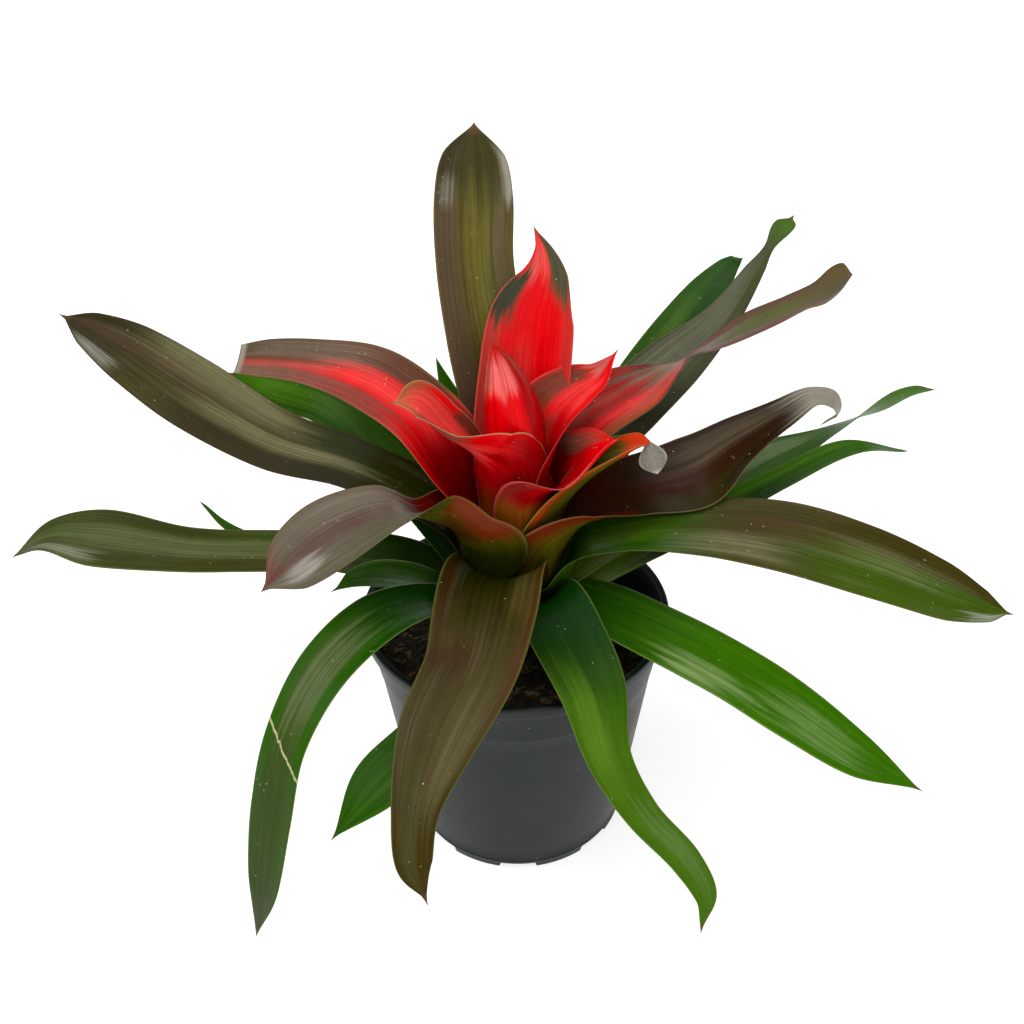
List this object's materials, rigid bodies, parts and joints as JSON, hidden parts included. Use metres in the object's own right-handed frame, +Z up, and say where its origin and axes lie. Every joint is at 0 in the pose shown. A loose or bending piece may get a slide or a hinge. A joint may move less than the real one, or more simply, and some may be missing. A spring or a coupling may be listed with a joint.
{
  "type": "potted bromeliad",
  "caption": "Potted bromeliad: a rosette of strap leaves, green and bronze outside and red at the heart, in a tapered dark plastic nursery pot filled with peat.",
  "frame": {"origin": "middle of the pot's underside, on the surface the pot stands on", "axes": "+Z up along the pot's axis, -Y towards the plant's best side, +X to the right of it"},
  "size_m": [0.4735, 0.3428, 0.3592],
  "materials": {
    "pot_plastic": "satin",
    "peat": "matte",
    "stem_green": "matte",
    "leaf_red": "satin",
    "leaf_bronze": "satin",
    "leaf_green": "satin"
  },
  "bodies": {
    "root": {"pot": "pot_plastic", "potting_mix": "peat", "stem": "stem_green", "heart_hood": "leaf_red", "heart_right": "leaf_red", "heart_left": "leaf_red", "heart_back": "leaf_red", "leaf_right_red_twisted": "leaf_red", "heart_right_low": "leaf_red", "leaf_left_red": "leaf_red", "leaf_back_tall": "leaf_bronze", "leaf_right_brown_curled": "leaf_bronze", "leaf_left_folded": "leaf_bronze", "leaf_right_back_bronze": "leaf_bronze", "leaf_left_upper_bronze": "leaf_bronze", "leaf_right_long_bronze": "leaf_bronze", "leaf_front_bronze": "leaf_bronze", "leaf_back_right_green": "leaf_green", "leaf_back_left_green": "leaf_green", "leaf_left_low_green": "leaf_green", "leaf_right_twisted_green": "leaf_green", "leaf_front_right_green": "leaf_green", "leaf_front_left_green": "leaf_green", "leaf_back_low_green": "leaf_green", "leaf_right_front_green": "leaf_green", "leaf_left_hidden_green": "leaf_green", "leaf_left_front_green": "leaf_green", "leaf_back_hidden_tip": "leaf_green", "leaf_right_dark_green": "leaf_green", "leaf_front_short_green": "leaf_green", "heart_right_withered_tip": "leaf_green"}
  },
  "joints": []
}
